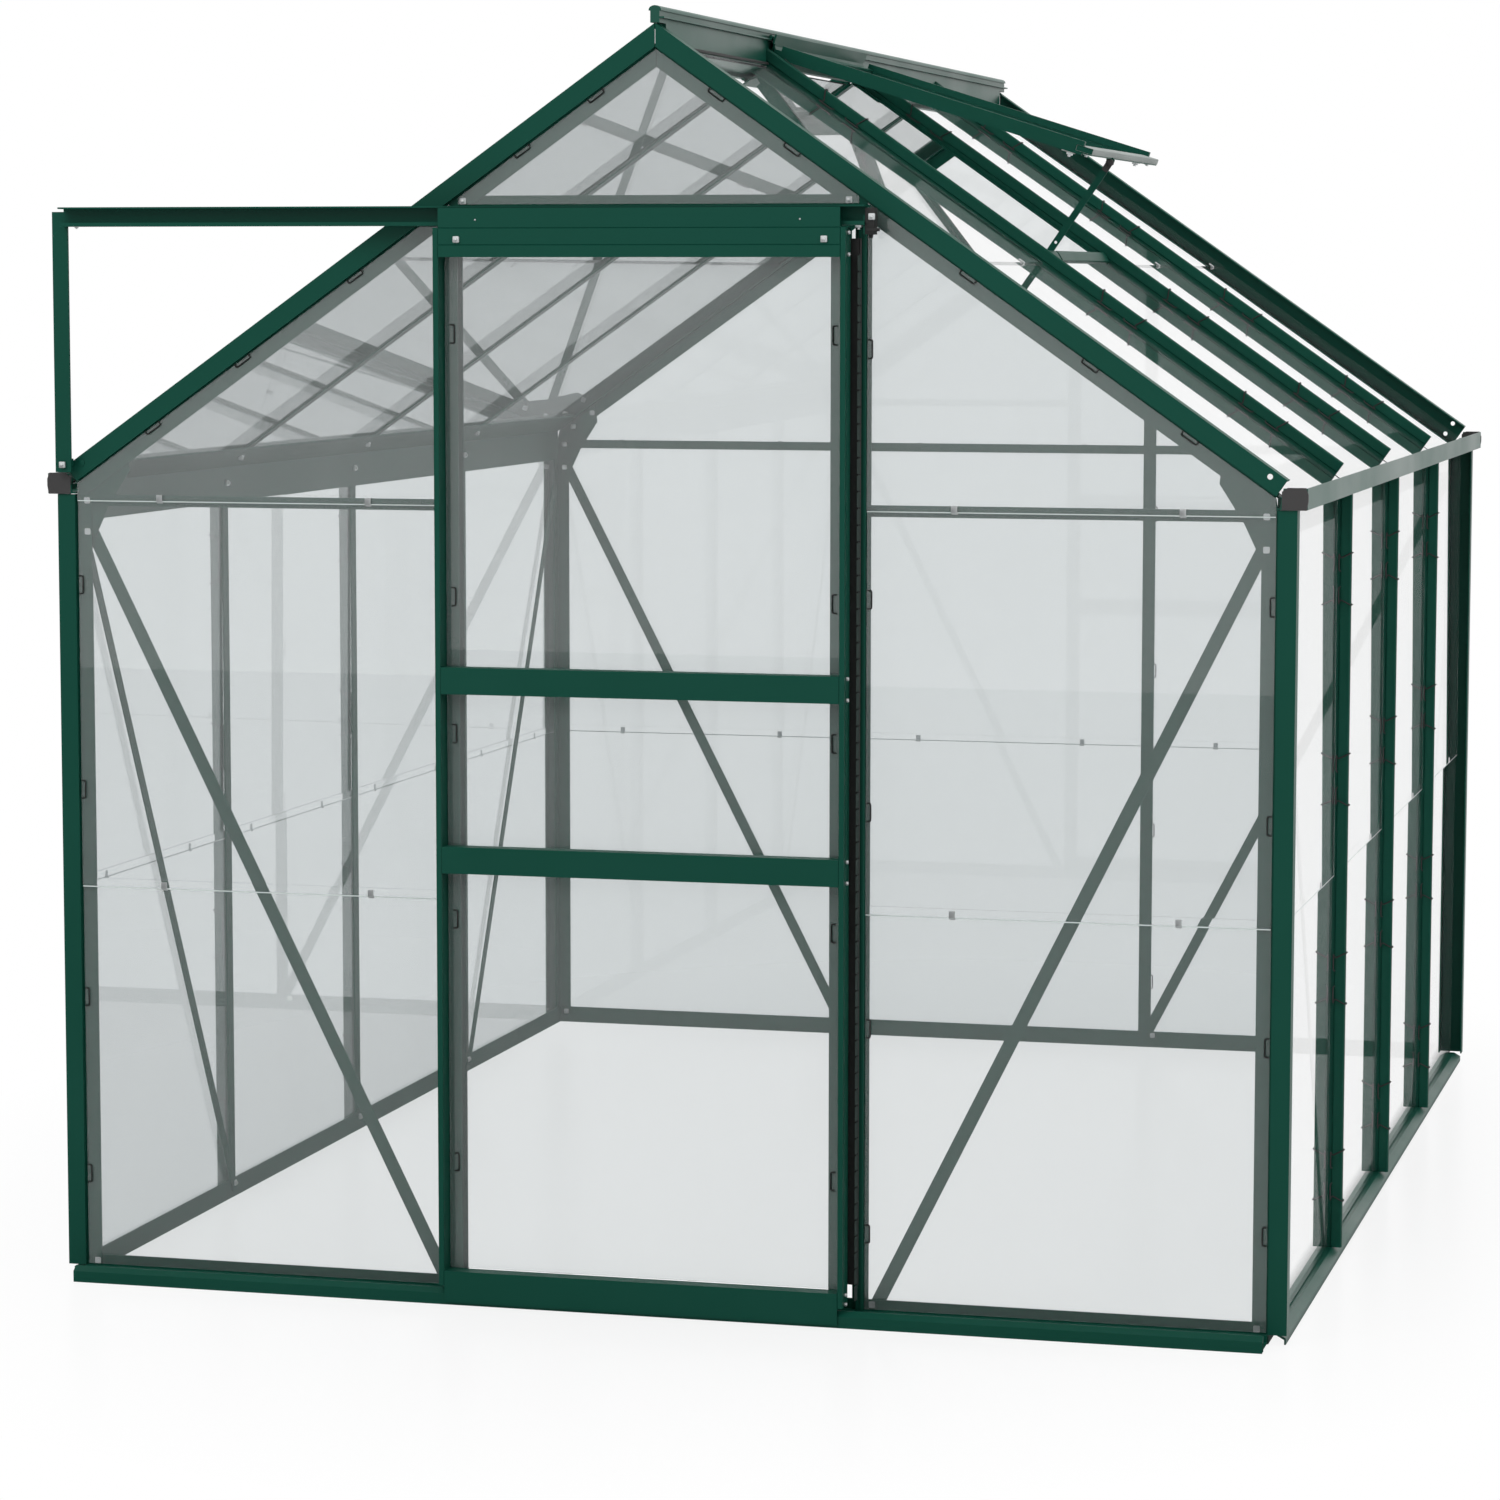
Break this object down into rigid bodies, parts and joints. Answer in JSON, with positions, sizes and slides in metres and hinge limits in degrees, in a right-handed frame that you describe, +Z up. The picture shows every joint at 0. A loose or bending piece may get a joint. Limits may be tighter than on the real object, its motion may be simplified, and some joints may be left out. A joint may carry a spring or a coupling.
{
  "type": "greenhouse",
  "caption": "Small freestanding glass greenhouse with green aluminium bars, gable roof, sliding front door and a propped roof vent.",
  "frame": {"origin": "centre of the footprint on the ground", "axes": "+Z up, -Y towards the door gable, +X towards the side with the roof vent, ridge along Y"},
  "size_m": [1.9294, 2.5876, 1.939],
  "materials": {
    "green_paint": "satin dark green powder coat",
    "glass": "clear horticultural glass",
    "roller_plastic": "moulded",
    "zinc": "zinc plated"
  },
  "bodies": {
    "frame": {"front_sill": "green_paint", "rear_sill": "green_paint", "left_sill": "green_paint", "right_sill": "green_paint", "front_left_post": "green_paint", "front_right_post": "green_paint", "rear_left_post": "green_paint", "rear_right_post": "green_paint", "left_stud_1": "green_paint", "left_stud_2": "green_paint", "left_stud_3": "green_paint", "right_stud_1": "green_paint", "right_stud_2": "green_paint", "right_stud_3": "green_paint", "front_frame": "green_paint", "rear_frame": "green_paint", "front_rafters": "green_paint", "rear_rafters": "green_paint", "roof_bars_1": "green_paint", "roof_bars_2": "green_paint", "roof_bars_3": "green_paint", "left_gutter": "green_paint", "right_gutter": "green_paint", "ridge_bar": "green_paint", "door_track": "green_paint", "vent_sill": "green_paint", "front_left_glass": "glass", "front_right_glass": "glass", "over_door_glass": "glass", "rear_left_glass": "glass", "rear_middle_glass": "glass", "rear_right_glass": "glass", "left_wall_glass_1": "glass", "left_wall_glass_2": "glass", "left_wall_glass_3": "glass", "left_wall_glass_4": "glass", "left_roof_glass_1": "glass", "left_roof_glass_2": "glass", "left_roof_glass_3": "glass", "left_roof_glass_4": "glass", "right_wall_glass_1": "glass", "right_wall_glass_2": "glass", "right_wall_glass_3": "glass", "right_wall_glass_4": "glass", "right_roof_glass_1": "glass", "right_roof_glass_2": "glass", "right_roof_glass_3": "glass", "right_roof_glass_4": "glass"},
    "door": {"door_header": "green_paint", "door_left_stile": "green_paint", "door_right_stile": "green_paint", "door_mid_rail_upper": "green_paint", "door_mid_rail_lower": "green_paint", "door_bottom_rail": "green_paint", "door_glass": "glass"},
    "door_roller_left": {"door_left_roller": "roller_plastic"},
    "door_roller_right": {"door_right_roller": "roller_plastic"},
    "roof_vent": {"vent_frame": "green_paint", "vent_glass": "glass"},
    "vent_stay": {"vent_stay": "zinc"}
  },
  "joints": [
    {"name": "door_slide", "type": "slide", "parent": "frame", "child": "door", "axis": [-1, 0, 0], "range_m": [0, 0.59]},
    {"name": "door_roller_left_spin", "type": "hinge", "parent": "door", "child": "door_roller_left", "pos_m": [-0.2594, -1.27095, 1.6306], "axis": [0, -1, 0], "range_deg": [0, 3860]},
    {"name": "door_roller_right_spin", "type": "hinge", "parent": "door", "child": "door_roller_right", "pos_m": [0.2329, -1.27095, 1.6306], "axis": [0, -1, 0], "range_deg": [0, 3860]},
    {"name": "vent_hinge", "type": "hinge", "parent": "frame", "child": "roof_vent", "pos_m": [0.0125, -0.29525, 1.926], "axis": [0, 1, 0], "range_deg": [0, 16.5]},
    {"name": "vent_stay_pivot", "type": "hinge", "parent": "roof_vent", "child": "vent_stay", "pos_m": [0.52818, -0.42025, 1.72848], "axis": [0, 1, 0], "range_deg": [0, 73]}
  ],
  "couplings": [
    {"joint": "door_roller_left_spin", "follows": "door_slide", "rad_per_m": 113.64},
    {"joint": "door_roller_right_spin", "follows": "door_slide", "rad_per_m": 113.64},
    {"joint": "vent_stay_pivot", "follows": "vent_hinge", "ratio": 4.423}
  ]
}
